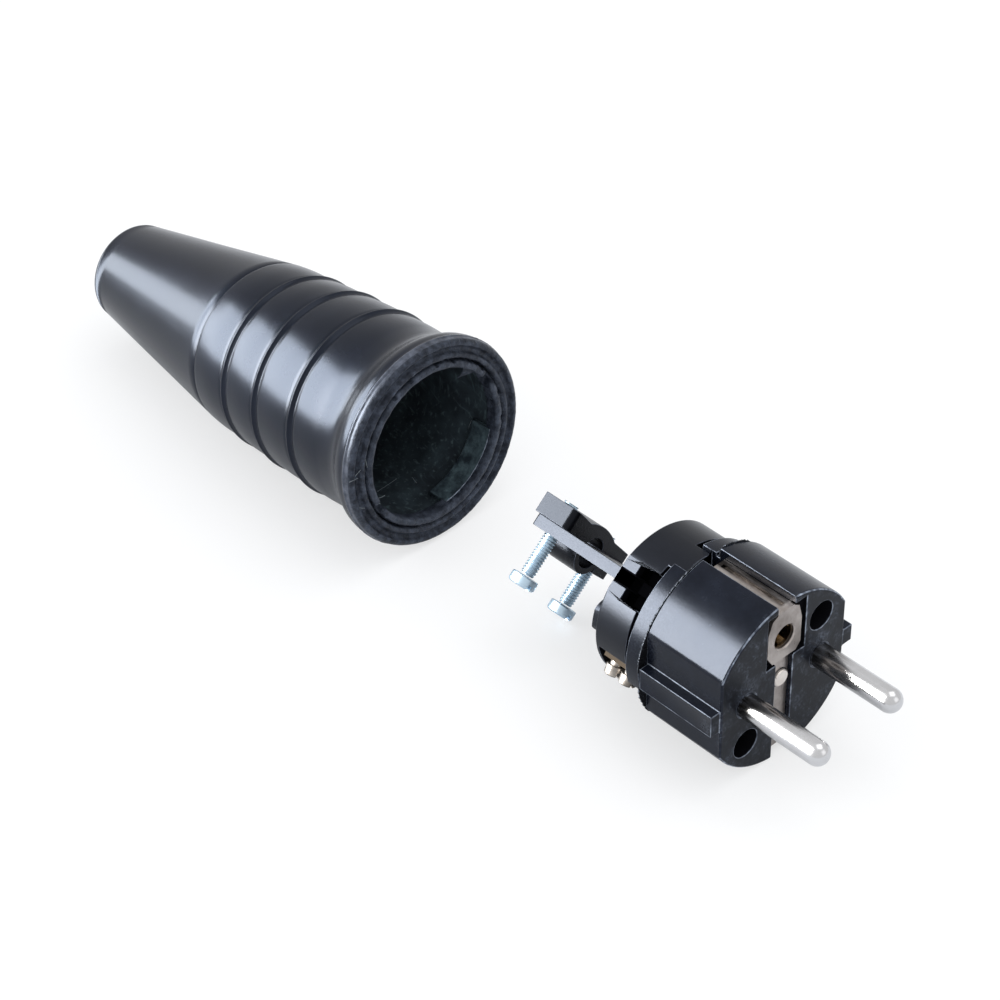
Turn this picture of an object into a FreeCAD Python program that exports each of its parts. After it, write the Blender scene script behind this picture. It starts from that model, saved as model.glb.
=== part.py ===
import FreeCAD, Part
import math
import os
from FreeCAD import Vector

# Rubber two-pin plug with side earth contacts, taken apart: the contact insert lies in front of its
# rubber sleeve, and both rest on the plane z = FLOOR.
# Millimetres. The origin is the centre of the front face between the pins, +X points out along the
# pins, +Z is up, and the near side is -Y. Each insert piece is centred on the X axis.

# Driving dimensions of the insert
PIN_PITCH = 19.0
PIN_DIAMETER = 4.8
PIN_LENGTH = 19.0
FACE_RADIUS = 18.25
FACE_HALF_WIDTH = 16.0
LOBE_DEPTH = 18.3
COLLAR_RADIUS = 17.3
COVER_RADIUS = 15.75
COVER_WALL = 2.25
COLLAR_LENGTH = 3.3
COVER_LENGTH = 7.8
CHANNEL_WIDTH = 4.4
STRIP_WIDTH = 4.2
STRIP_THICKNESS = 0.8
EARTH_HOLE_RADIUS = 2.5
EARTH_HOLE_HEIGHT = 10.0
SCREW_HOLE_RADIUS = 3.0
SCREW_HOLE_DEPTH = 12.0
SCREW_HOLE_PLACE = (-9.3, -9.5)

# Driving dimensions of the cord clamp, which stands in a slanted plane through the X axis
CLAMP_SLANT = 41.4
ARM_THICKNESS = 2.4
ARM_HALF_WIDTH = 11.3
ARM_FREE_END = -56.2
JAW_FRONT = -48.8
JAW_REAR = -57.1
CORD_RADIUS = 3.2
CLAMP_SCREW_SPACING = 16.3
CLAMP_SCREW_LENGTH = 16.0

# Driving dimensions of the rubber sleeve, along its own axis from the flange's greatest circle
FLANGE_RADIUS = 22.25
SHOULDER = -51.0
SHOULDER_RADIUS = 18.5
SMALL_END = -98.4
SMALL_END_RADIUS = 10.95
SLEEVE_PLACE = (-92.0, -2.4)
MOUTH_RADIUS = 15.95
CAVITY_RADIUS = 16.2
INLET_RADIUS = 4.2

# Clearances
FIT = 0.05
SLIP = 0.15
REACH = 0.1
SEAM = 0.8
COVER_GAP = 1.6

# Worked out from the above
FLOOR = -math.sqrt(FACE_RADIUS ** 2 - (CHANNEL_WIDTH / 2) ** 2)
PIN_RADIUS = PIN_DIAMETER / 2
PIN_ROOT_RADIUS = PIN_RADIUS - 0.3
PIN_SEAT = -0.1
CHANNEL_FLOOR = 15.0
COLLAR_FRONT = -LOBE_DEPTH - SEAM
COLLAR_REAR = COLLAR_FRONT - COLLAR_LENGTH
COVER_FRONT = COLLAR_REAR - COVER_GAP
COVER_REAR = COVER_FRONT - COVER_LENGTH
PLATE_BACK = -1.8
STRIP_BACK = PLATE_BACK
STRIP_FRONT = STRIP_BACK + STRIP_THICKNESS
PLATE_FRONT = STRIP_FRONT + STRIP_THICKNESS
SPIGOT_RADIUS = COVER_RADIUS - COVER_WALL - SLIP
SPIGOT_END = COVER_FRONT - 2.0
EARTH_TAIL = -(COVER_RADIUS - COVER_WALL - 0.6)
EARTH_BLOCK_TOP = EARTH_TAIL + 5.7
EARTH_BLOCK_FRONT = COVER_FRONT + 0.4
EARTH_SCREW = EARTH_BLOCK_FRONT - 3.0
SCREW_MIDDLE = (JAW_FRONT + JAW_REAR) / 2
TERMINAL_DIRECTION = (-0.5, -math.sqrt(0.75))
TERMINAL_HALF_WIDTH = 2.4
TERMINAL_TOP = COVER_RADIUS - 9.25
TERMINAL_REAR = COVER_REAR + 1.5
TERMINAL_SCREWS = (COVER_FRONT - 0.9, COVER_FRONT - 4.6)
TERMINAL_FRONT = 2.3 - LOBE_DEPTH


def box(x0, x1, y0, y1, z0, z1):
    return Part.makeBox(x1 - x0, y1 - y0, z1 - z0, Vector(x0, y0, z0))


def rod(radius, x0, x1, y=0.0, z=0.0):
    """A cylinder along X."""
    return Part.makeCylinder(radius, x1 - x0, Vector(x0, y, z), Vector(1, 0, 0))


def post(radius, start, direction, length):
    return Part.makeCylinder(radius, length, Vector(*start), Vector(*direction))


def slanted(shape):
    """Turns a clamp piece from its own frame, where Z is out and Y is up the screws, into place."""
    turned = shape.copy()
    turned.rotate(Vector(0, 0, 0), Vector(1, 0, 0), CLAMP_SLANT)
    return turned


def plate_outline(points, x0, x1):
    """An outline of (y, z) points, pushed along X."""
    wire = Part.makePolygon([Vector(x0, y, z) for y, z in points + points[:1]])
    return Part.Face(wire).extrude(Vector(x1 - x0, 0, 0))


def rounded(shape, radius, choose):
    """Fillets the edges that choose picks by their middle point."""
    edges = [edge for edge in shape.Edges if choose(edge.BoundBox.Center, edge)]
    return shape.makeFillet(radius, edges)


def front_body():
    """The moulded front: two lobes on a flat-sided disc, a collar, a spigot and a snap tongue."""
    lobes = rod(FACE_RADIUS, -LOBE_DEPTH, 0).common(
        box(-LOBE_DEPTH, 0, -FACE_HALF_WIDTH, FACE_HALF_WIDTH, -FACE_RADIUS, FACE_RADIUS))
    lobes = rounded(lobes, 0.5, lambda middle, edge: abs(middle.x) < 0.01 and edge.BoundBox.XLength < 0.01)
    for side, low, high, front in ((-1, -2.6, 2.2, -0.4), (1, -1.8, 1.9, 0)):
        rib = box(-LOBE_DEPTH + 0.3, front, -18.2, -FACE_HALF_WIDTH + 0.3, low, high)
        if side > 0:
            rib = rib.mirror(Vector(0, 0, 0), Vector(0, 1, 0))
        lobes = lobes.fuse(rib)
    body = lobes.fuse(front_collar())
    body = body.fuse(rod(SPIGOT_RADIUS, SPIGOT_END, COLLAR_FRONT + REACH))
    body = body.cut(front_channels())
    body = body.cut(front_bores())
    body = body.cut(rear_pockets())
    return body.removeSplitter()


def front_collar():
    rear, front = COLLAR_REAR - 0.6, COLLAR_FRONT + REACH
    collar = rod(COLLAR_RADIUS, COLLAR_REAR, COLLAR_FRONT)
    collar = collar.fuse(rod(COLLAR_RADIUS - 1.3, COLLAR_FRONT - REACH, -LOBE_DEPTH + REACH))
    outside = rod(COLLAR_RADIUS + 1, rear, front)
    low = outside.cut(rod(COLLAR_RADIUS - 1.05, rear, front))
    collar = collar.cut(low.common(box(rear, front, -19, 19, -19, -4.8)))
    upper = outside.cut(rod(COLLAR_RADIUS - 0.5, rear, front))
    collar = collar.cut(upper.common(box(rear, front, 2, 19, 0, 19)))
    window = box(rear, -LOBE_DEPTH, -5.1, 2.1, 0, 19).cut(rod(SPIGOT_RADIUS, rear, -LOBE_DEPTH))
    return collar.cut(window)


def front_channels():
    """What the earth strips lie in: a groove down the face, its plate seat, two long grooves and a pit."""
    half = CHANNEL_WIDTH / 2
    face_groove = box(PLATE_BACK, 1, -half, half, -19, 19)
    seat = box(STRIP_FRONT, 1, -4.7, 5.2, 4.7, 16.6)
    top = box(-LOBE_DEPTH - REACH, 1, -half, half, CHANNEL_FLOOR, 19)
    bottom = box(-LOBE_DEPTH - 1, 1, -half, half, -19, -CHANNEL_FLOOR)
    pit = box(-LOBE_DEPTH - 1.9, -LOBE_DEPTH + 1.1, -half, half, 11.5, 19)
    return face_groove.fuse([seat, top, bottom, pit])


def front_bores():
    bores = []
    for side in (-1, 1):
        bores.append(rod(PIN_ROOT_RADIUS, COVER_REAR, 1, side * PIN_PITCH / 2))
        bores.append(rod(PIN_RADIUS + 0.2, PIN_SEAT, 1, side * PIN_PITCH / 2))
        y, z = side * -SCREW_HOLE_PLACE[0], side * -SCREW_HOLE_PLACE[1]
        bores.append(rod(SCREW_HOLE_RADIUS, -SCREW_HOLE_DEPTH, 1, y, z))
        bores.append(rod(1.6, COVER_REAR, 1, y, z))
    bores.append(rod(EARTH_HOLE_RADIUS + 0.75, -14.8, 0, 0, EARTH_HOLE_HEIGHT))
    bores.append(rod(0.95, -5, 0))
    return bores[0].fuse(bores[1:])


def rear_pockets():
    """Room behind the face for the terminals, the earth strip's tail and the clamp's hook."""
    half = TERMINAL_HALF_WIDTH + SLIP
    rear, front = COVER_FRONT - 6, TERMINAL_FRONT
    pocket = box(rear, front, -half, half, -half, half)
    pocket = pocket.fuse(box(rear, COVER_FRONT + 1.7, -half, half, -half, 20))
    middle = box(rear, front, -3.4, 3.4, EARTH_TAIL - 0.2, EARTH_BLOCK_TOP + 2.2)
    tail = box(-LOBE_DEPTH - 1.7, front + 0.5, -CHANNEL_WIDTH / 2, CHANNEL_WIDTH / 2, -19, -11)
    hook = slanted(box(rear, COVER_FRONT + 0.1, -3.8, 3.8, 7.4, 20))
    centre = slanted(box(rear, COVER_FRONT - 0.3, -1.5, 1.5, 2.7, 14))
    return at_terminal(pocket, -1).fuse([at_terminal(pocket, 1), middle, tail, hook, centre])


def pin_solid(side):
    """Round contact pin with a ball end, a locking shoulder and its terminal block."""
    y = side * PIN_PITCH / 2
    pin = rod(PIN_RADIUS, PIN_SEAT, PIN_LENGTH - PIN_RADIUS, y)
    pin = pin.fuse(rod(PIN_ROOT_RADIUS, TERMINAL_FRONT - 1, PIN_SEAT + REACH, y))
    pin = pin.fuse(Part.makeSphere(PIN_RADIUS, Vector(PIN_LENGTH - PIN_RADIUS, y, 0)))
    half = TERMINAL_HALF_WIDTH
    block = box(TERMINAL_REAR, TERMINAL_FRONT, -half, half, -half, half)
    block = block.fuse(box(TERMINAL_REAR, COVER_FRONT + 1.5, -half, half, -half, TERMINAL_TOP))
    block = block.cut(rod(1.4, TERMINAL_REAR - 1, COVER_FRONT + 2, 0, 2.2))
    for x in TERMINAL_SCREWS:
        block = block.cut(post(1.2, (x, 0, 0.6), (0, 0, 1), 10))
    return pin.fuse(at_terminal(block, side)).removeSplitter()


def at_terminal(shape, side):
    """Stands a terminal piece, modelled with its screws along +Z, at one of the two pins."""
    placed = shape.copy()
    angle = math.degrees(math.atan2(-TERMINAL_DIRECTION[0], -TERMINAL_DIRECTION[1]))
    placed.rotate(Vector(0, 0, 0), Vector(1, 0, 0), 180 - side * -angle)
    placed.translate(Vector(0, side * PIN_PITCH / 2, 0))
    return placed


def slotted_screw(shank_radius, shank_length, head_radius, head_height, slot_width, slot_turn=0.0):
    """Cheese-head screw along -Z, its head's underside on z = 0."""
    screw = post(shank_radius, (0, 0, -shank_length), (0, 0, 1), shank_length + REACH)
    head = post(head_radius, (0, 0, 0), (0, 0, 1), head_height)
    head = head.makeChamfer(0.25, [edge for edge in head.Edges if edge.BoundBox.ZMin > head_height - 0.01])
    slot = box(-head_radius - 1, head_radius + 1, -slot_width / 2, slot_width / 2,
               head_height * 0.45, head_height + 1)
    slot.rotate(Vector(0, 0, 0), Vector(0, 0, 1), slot_turn)
    tip = [edge for edge in screw.Edges if edge.BoundBox.ZMax < -shank_length + 0.01]
    return screw.makeChamfer(0.3, tip).fuse(head.cut(slot)).removeSplitter()


def terminal_screw(side, x):
    screw = slotted_screw(1.2, 5.6, 1.75, 2.0, 0.6, 20)
    screw.translate(Vector(x, 0, TERMINAL_TOP + 1.3))
    return at_terminal(screw, side)


def earth_upper_strip():
    """Nickelled plate with the earth socket's hole, and its contact run along the top groove."""
    half = STRIP_WIDTH / 2
    rear = 1.3 - LOBE_DEPTH
    plate = plate_outline([(-1.5, 16.4), (-3.4, 15.4), (-4.4, 12.6), (-4.4, 7.4), (-3.0, 5.2),
                           (3.0, 5.2), (4.2, 6.6), (4.2, 12.4), (3.4, 15.4), (1.8, 16.4)],
                          STRIP_FRONT, PLATE_FRONT)
    top = CHANNEL_FLOOR + 1.4
    run = box(rear, PLATE_FRONT, -half, half, top - STRIP_THICKNESS, top)
    run = run.cut(box(rear + 0.6, -1.6, 0.1, 1.0, top - 0.5, top + 1))
    foot = box(rear, rear + STRIP_THICKNESS, -half, half, CHANNEL_FLOOR, top)
    hole = rod(EARTH_HOLE_RADIUS, -5, 5, 0, EARTH_HOLE_HEIGHT)
    strip = plate.fuse([run, foot]).cut(hole)
    rim = [edge for edge in strip.Edges
           if edge.BoundBox.XMin > PLATE_FRONT - 0.01 and abs(edge.Length - 2 * math.pi * EARTH_HOLE_RADIUS) < 0.1]
    return strip.makeChamfer(0.25, rim).removeSplitter()


def earth_lower_strip():
    """The riveted strip: down the face, back along the bottom groove, then up to the earth terminal."""
    half = STRIP_WIDTH / 2
    low = -(CHANNEL_FLOOR + 1.4)
    rear = 0.3 - LOBE_DEPTH
    inner = EARTH_TAIL
    down = box(STRIP_BACK, STRIP_FRONT, -half, half, low, 6.6)
    run = box(rear, STRIP_FRONT, -half, half, low, low + STRIP_THICKNESS)
    step = box(rear, rear + STRIP_THICKNESS, -half, half, low, inner + STRIP_THICKNESS)
    tail = box(EARTH_SCREW - 2.6, rear + STRIP_THICKNESS, -half, half, inner, inner + STRIP_THICKNESS)
    strip = down.fuse([run, step, tail])
    strip = strip.cut(rod(0.9, -5, 5))
    return strip.cut(post(1.2 + FIT, (EARTH_SCREW, 0, -20), (0, 0, 1), 12)).removeSplitter()


def earth_rivet():
    """Countersunk shank in the body, round flat head on the strip."""
    head = rod(1.75, STRIP_FRONT, STRIP_FRONT + 0.6)
    head = head.makeChamfer(0.2, [edge for edge in head.Edges if edge.BoundBox.XMin > STRIP_FRONT + 0.5])
    return head.fuse(rod(0.9, -4.6, STRIP_FRONT + REACH)).removeSplitter()


def earth_socket():
    """Split spring tube behind the plate's hole, which takes a wall socket's earth pin."""
    outer = EARTH_HOLE_RADIUS + 0.7
    tube = rod(outer, -14.8, STRIP_FRONT, 0, EARTH_HOLE_HEIGHT)
    tube = tube.cut(rod(EARTH_HOLE_RADIUS - 0.1, -14.2, 1, 0, EARTH_HOLE_HEIGHT))
    return tube.cut(box(-12.6, 1, -0.5, 0.5, EARTH_HOLE_HEIGHT, EARTH_HOLE_HEIGHT + 5))


def earth_terminal():
    """Brass block seated on the strip's tail."""
    bottom = EARTH_TAIL + STRIP_THICKNESS
    rear = EARTH_BLOCK_FRONT - 5.4
    block = box(rear, EARTH_BLOCK_FRONT, -2.8, 2.8, bottom, EARTH_BLOCK_TOP)
    block = block.cut(rod(1.3, rear - 1, EARTH_BLOCK_FRONT + 1, 0, EARTH_BLOCK_TOP - 2.4))
    return block.cut(post(1.2, (EARTH_SCREW, 0, -20), (0, 0, 1), 20))


def earth_terminal_screw():
    screw = slotted_screw(1.2, 5.2, 1.9, 1.8, 0.6, 0)
    screw.translate(Vector(EARTH_SCREW, 0, EARTH_BLOCK_TOP))
    return screw


def rear_cover():
    """Cup over the terminals: facet with the T window and arm slot, tongue, screw bosses."""
    wall = rod(COVER_RADIUS, COVER_REAR, COVER_FRONT)
    wall = rounded(wall, 0.4, lambda middle, edge: abs(middle.x - COVER_REAR) < 0.01)
    wall = wall.fuse(cover_tongue())
    cover = wall.cut(rod(COVER_RADIUS - COVER_WALL, COVER_REAR + 1.2, 0))
    for side in (-1, 1):
        y, z = side * -SCREW_HOLE_PLACE[0], side * -SCREW_HOLE_PLACE[1]
        boss = rod(2.5, COVER_REAR + 0.8, SPIGOT_END, y, z)
        cover = cover.fuse(boss.common(rod(COVER_RADIUS, COVER_REAR, 0)))
        cover = cover.cut(rod(1.25, COVER_REAR + 1.4, COLLAR_FRONT, y, z))
    cover = cover.fuse(cover_lug())
    cover = cover.cut(rod(8.5, COVER_REAR - 2.2, COVER_REAR + 1.3))
    cover = cover.cut(slanted(cover_window()))
    for side in (-1, 1):
        opening = box(COVER_REAR + 0.8, COVER_FRONT + 1, -2.6, 4.1, 3.5, 25)
        if side > 0:
            opening = opening.mirror(Vector(0, 0, 0), Vector(0, 1, 0))
        cover = cover.cut(at_terminal(opening, side))
    return cover.removeSplitter()


def cover_tongue():
    front = -LOBE_DEPTH - 0.2
    ring = rod(COVER_RADIUS, COVER_FRONT - REACH, front).cut(rod(COVER_RADIUS - COVER_WALL, COVER_REAR, 0))
    near = ring.common(box(COVER_FRONT - 1, front, -5.0, -2.3, 0, 19))
    far = ring.common(box(COVER_FRONT - 1, front - 1.9, -2.4, 2.0, 0, 19))
    return near.fuse(far)


def cover_window():
    """In the clamp's frame: facet, T-shaped window, arm slot."""
    facet = box(COVER_REAR - 5, COVER_FRONT + 1, -8, 8, COVER_RADIUS - 0.5, 20)
    window = box(COVER_FRONT - 4.4, COVER_FRONT + 1, -3.9, 3.9, 8, 20)
    slot = box(COVER_REAR - 5, COVER_FRONT - 4, -1.5, 1.5, -ARM_HALF_WIDTH - 0.3, 20)
    return facet.fuse([window, slot])


def cover_lug():
    """Half-round lug on the rear rim, near side."""
    lug = post(3.4, (COVER_REAR + 0.4, 3.35 - COVER_RADIUS, 2.6), (-1, 0, 0), 1.5)
    return lug.common(rod(COVER_RADIUS - 0.15, -40, 0))


def body_screw(side):
    """Long screw from the front hole into the cover's boss."""
    screw = slotted_screw(1.25, -COVER_REAR - 2.8 - SCREW_HOLE_DEPTH, 2.7, 2.0, 0.8, 30)
    screw.rotate(Vector(0, 0, 0), Vector(0, 1, 0), 90)
    screw.translate(Vector(-SCREW_HOLE_DEPTH, side * -SCREW_HOLE_PLACE[0], side * -SCREW_HOLE_PLACE[1]))
    return screw


def clamp_arm():
    """Flat arm with a T head hooked in the cover's window and a trough for the cord."""
    half = ARM_THICKNESS / 2
    neck = ARM_HALF_WIDTH - 2.2
    arm = box(ARM_FREE_END, COVER_REAR - 0.9, -half, half, -ARM_HALF_WIDTH, ARM_HALF_WIDTH)
    head = COVER_FRONT - 4.3
    arm = arm.fuse(box(COVER_REAR - 1, head - 0.7, -half, half, -neck, neck))
    arm = arm.fuse(box(head - 1.2, COVER_FRONT - 0.6, -half, half, 3.0, neck))
    arm = arm.fuse(box(head, COVER_FRONT - 1.4, -3.6, 3.6, 7.6, neck + 1.4))
    arm = arm.fuse(box(head, COVER_FRONT - 0.2, -half, half, 7.6, neck + 2.4))
    trough = rod(CORD_RADIUS + 1.1, ARM_FREE_END, JAW_FRONT, -0.4, 0)
    arm = arm.fuse(trough.common(box(-60, 0, -10, 0, -10, 10)))
    arm = arm.fuse(box(-51.5, JAW_FRONT, -3.4, 0, -8.6, -4.0))
    arm = arm.cut(rod(CORD_RADIUS, -60, JAW_FRONT + 1, -0.2, 0))
    for u in (-CLAMP_SCREW_SPACING / 2, CLAMP_SCREW_SPACING / 2):
        arm = arm.cut(post(1.5 + SLIP, (SCREW_MIDDLE, -20, u), (0, 1, 0), 40))
    arm = rounded(arm, 0.6, lambda middle, edge: abs(middle.x - ARM_FREE_END) < 0.01
                  and abs(middle.z) > 10 and edge.BoundBox.YLength > 1)
    return slanted(arm.removeSplitter())


def clamp_jaw():
    """Saddle over the cord: thick near end, low bulge over the cord, thin far end."""
    under = ARM_THICKNESS / 2
    end = ARM_HALF_WIDTH
    path = [Vector(JAW_REAR, under, end), Vector(JAW_REAR, 5.4, end), Vector(JAW_REAR, 5.3, 9.4),
            Vector(JAW_REAR, 4.7, 5.1)]
    bulge = Part.Arc(Vector(JAW_REAR, 4.7, 5.1), Vector(JAW_REAR, 5.3, 1.0), Vector(JAW_REAR, 3.8, -5.15))
    tail = [Vector(JAW_REAR, 3.8, -5.15), Vector(JAW_REAR, 3.2, -end), Vector(JAW_REAR, under, -end),
            Vector(JAW_REAR, under, end)]
    wire = Part.Wire(Part.makePolygon(path).Edges + [bulge.toShape()] + Part.makePolygon(tail).Edges)
    jaw = Part.Face(wire).extrude(Vector(JAW_FRONT - JAW_REAR, 0, 0))
    jaw = rounded(jaw, 1.5, lambda middle, edge: abs(middle.x - JAW_FRONT) < 0.01
                  and abs(middle.z - end) < 0.01 and edge.BoundBox.YLength > 3)
    jaw = jaw.cut(rod(CORD_RADIUS, -60, 0, -0.2, 0))
    for u in (-CLAMP_SCREW_SPACING / 2, CLAMP_SCREW_SPACING / 2):
        jaw = jaw.cut(post(1.5, (SCREW_MIDDLE, -20, u), (0, 1, 0), 40))
    return slanted(jaw.removeSplitter())


def clamp_screw(u, head_drop):
    """Slotted screw whose head hangs below the arm; its tip is threaded into the jaw."""
    screw = slotted_screw(1.5, CLAMP_SCREW_LENGTH, 3.05, 2.2, 0.9, 15)
    screw.rotate(Vector(0, 0, 0), Vector(1, 0, 0), 90)
    screw.translate(Vector(SCREW_MIDDLE, head_drop, u))
    return slanted(screw)


def sleeve_outline():
    """Half section of the sleeve as edges in the plane of its axis."""
    outer = [(SMALL_END, SMALL_END_RADIUS - 1.0), (SMALL_END + 1.0, SMALL_END_RADIUS), (-52.0, 18.25)]
    edges = line_edges([(SMALL_END, INLET_RADIUS)] + outer)
    swells = ((-52.0, 18.25, 18.85, -42.5, 18.75), (-40.9, 18.95, 19.45, -31.9, 19.15),
              (-30.3, 19.5, 20.0, -20.1, 19.75), (-18.4, 19.85, 20.15, -10.4, 19.75))
    for index, (start, r0, top, stop, r1) in enumerate(swells):
        edges.append(arc_edge((start, r0), ((start + stop) / 2, top), (stop, r1)))
        if index < 3:
            after, r2 = swells[index + 1][0], swells[index + 1][1]
            edges += line_edges([(stop, r1), (stop + 0.15, r1 + 0.3), (after - 0.15, r2 + 0.25), (after, r2)])
    edges.append(arc_edge((-10.4, 19.75), (-6.6, 20.6), (-3.2, 21.9)))
    mouth = [(-3.2, 21.9), (-0.6, FLANGE_RADIUS), (1.5, FLANGE_RADIUS), (2.1, 21.65), (2.3, 19.4),
             (1.9, 19.2), (1.9, 17.85), (0.8, 17.85), (0.8, 17.55), (2.3, 17.45), (2.4, 16.3),
             (2.1, MOUTH_RADIUS), (-0.8, MOUTH_RADIUS), (-1.0, 16.9), (-7.0, 16.9), (-9.0, CAVITY_RADIUS),
             (-50.0, CAVITY_RADIUS - 0.4), (-91.0, 8.9), (-92.5, INLET_RADIUS), (SMALL_END, INLET_RADIUS)]
    return edges + line_edges(mouth)


def line_edges(points):
    return [Part.LineSegment(Vector(a[0], 0, a[1]), Vector(b[0], 0, b[1])).toShape()
            for a, b in zip(points, points[1:])]


def arc_edge(start, middle, stop):
    return Part.Arc(*[Vector(s, 0, r) for s, r in (start, middle, stop)]).toShape()


def wedge(r0, r1, s0, s1, start_angle, stop_angle):
    """A piece of a ring round the X axis; angles are degrees from -Y, towards +Z."""
    face = Part.Face(Part.makePolygon([Vector(s0, -r0, 0), Vector(s1, -r0, 0), Vector(s1, -r1, 0),
                                       Vector(s0, -r1, 0), Vector(s0, -r0, 0)]))
    face.rotate(Vector(0, 0, 0), Vector(1, 0, 0), -start_angle)
    return face.revolve(Vector(0, 0, 0), Vector(1, 0, 0), start_angle - stop_angle)


def rubber_sleeve():
    """One rubber moulding: cone, ribbed body, flange, mouth ring with two rim notches, name pad."""
    section = Part.Face(Part.Wire(Part.__sortEdges__(sleeve_outline())))
    sleeve = section.revolve(Vector(0, 0, 0), Vector(1, 0, 0), 360)
    sleeve = Part.makeSolid(sleeve) if sleeve.ShapeType != "Solid" else sleeve
    sleeve = sleeve.fuse(wedge(16.0, 17.2, -5.2, -0.9, -165, -95))
    for angle in (145, -35):
        sleeve = sleeve.cut(wedge(15.0, 17.4, -1.2, 3.0, angle - 5, angle + 5))
    return in_sleeve_place(sleeve.removeSplitter())


def in_sleeve_place(shape):
    """Lays the sleeve down on its flange and shoulder, beside the insert on the same floor."""
    tilt = math.atan2(FLANGE_RADIUS - SHOULDER_RADIUS, -SHOULDER - 0.6)
    lowest = 0.6 * math.sin(tilt) + FLANGE_RADIUS * math.cos(tilt)
    placed = shape.copy()
    placed.rotate(Vector(0, 0, 0), Vector(0, 1, 0), -math.degrees(tilt))
    placed.translate(Vector(SLEEVE_PLACE[0], SLEEVE_PLACE[1], FLOOR + lowest))
    return placed


def all_pieces():
    pieces = {
        "rubber_sleeve": rubber_sleeve(),
        "front_body": front_body(),
        "rear_cover": rear_cover(),
        "earth_upper_strip": earth_upper_strip(),
        "earth_lower_strip": earth_lower_strip(),
        "earth_rivet": earth_rivet(),
        "earth_socket": earth_socket(),
        "earth_terminal": earth_terminal(),
        "earth_terminal_screw": earth_terminal_screw(),
        "clamp_arm": clamp_arm(),
        "clamp_jaw": clamp_jaw(),
        "clamp_screw_near": clamp_screw(CLAMP_SCREW_SPACING / 2, -10.2),
        "clamp_screw_far": clamp_screw(-CLAMP_SCREW_SPACING / 2, -11.6),
    }
    for name, side in (("near", -1), ("far", 1)):
        pieces["pin_" + name] = pin_solid(side)
        pieces["body_screw_" + name] = body_screw(side)
        for place, x in zip(("front", "rear"), TERMINAL_SCREWS):
            pieces["terminal_screw_" + name + "_" + place] = terminal_screw(side, x)
    return pieces


os.makedirs("parts", exist_ok=True)
for name, shape in all_pieces().items():
    shape.exportStep("parts/" + name + ".step")
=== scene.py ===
import bpy
import bmesh
import math
import random
from mathutils import Matrix, Vector, noise


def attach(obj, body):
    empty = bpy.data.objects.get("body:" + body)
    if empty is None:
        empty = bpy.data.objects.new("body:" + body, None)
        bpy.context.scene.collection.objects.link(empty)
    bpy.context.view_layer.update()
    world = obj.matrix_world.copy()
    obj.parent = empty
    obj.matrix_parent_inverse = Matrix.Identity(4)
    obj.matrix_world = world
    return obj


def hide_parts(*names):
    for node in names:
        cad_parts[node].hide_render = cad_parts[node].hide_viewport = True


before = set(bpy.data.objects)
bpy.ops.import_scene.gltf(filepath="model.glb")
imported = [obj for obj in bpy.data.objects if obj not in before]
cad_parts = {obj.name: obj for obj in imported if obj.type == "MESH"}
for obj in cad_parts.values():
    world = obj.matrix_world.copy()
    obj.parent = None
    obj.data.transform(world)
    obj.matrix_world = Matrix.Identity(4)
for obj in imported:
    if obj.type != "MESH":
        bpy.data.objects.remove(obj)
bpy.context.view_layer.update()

random.seed(7)
MM = 0.001
BODY = "root"

# The sleeve's place, as in the CAD part: lying on its flange and its shoulder
FACE_RADIUS = 18.25
CHANNEL_WIDTH = 4.4
FLOOR = -math.sqrt(FACE_RADIUS ** 2 - (CHANNEL_WIDTH / 2) ** 2)
FLANGE_RADIUS = 22.25
FLANGE_FOOT = 0.6
SHOULDER = 51.0
SHOULDER_RADIUS = 18.5
TILT = math.atan2(FLANGE_RADIUS - SHOULDER_RADIUS, SHOULDER - FLANGE_FOOT)
SLEEVE_HEIGHT = FLOOR + FLANGE_FOOT * math.sin(TILT) + FLANGE_RADIUS * math.cos(TILT)
SLEEVE_PLACE = Matrix.Translation((-92.0, -2.4, SLEEVE_HEIGHT)) @ Matrix.Rotation(-TILT, 4, "Y")

# The clamp's slant about the X axis
SLANT = Matrix.Rotation(math.radians(41.4), 4, "X")


def linear(value):
    """One channel of a screen colour, 0 to 255, as the shader wants it."""
    value = value / 255
    return value / 12.92 if value < 0.04045 else ((value + 0.055) / 1.055) ** 2.4


def colour(red, green, blue):
    return (linear(red), linear(green), linear(blue), 1.0)


# Materials

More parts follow.
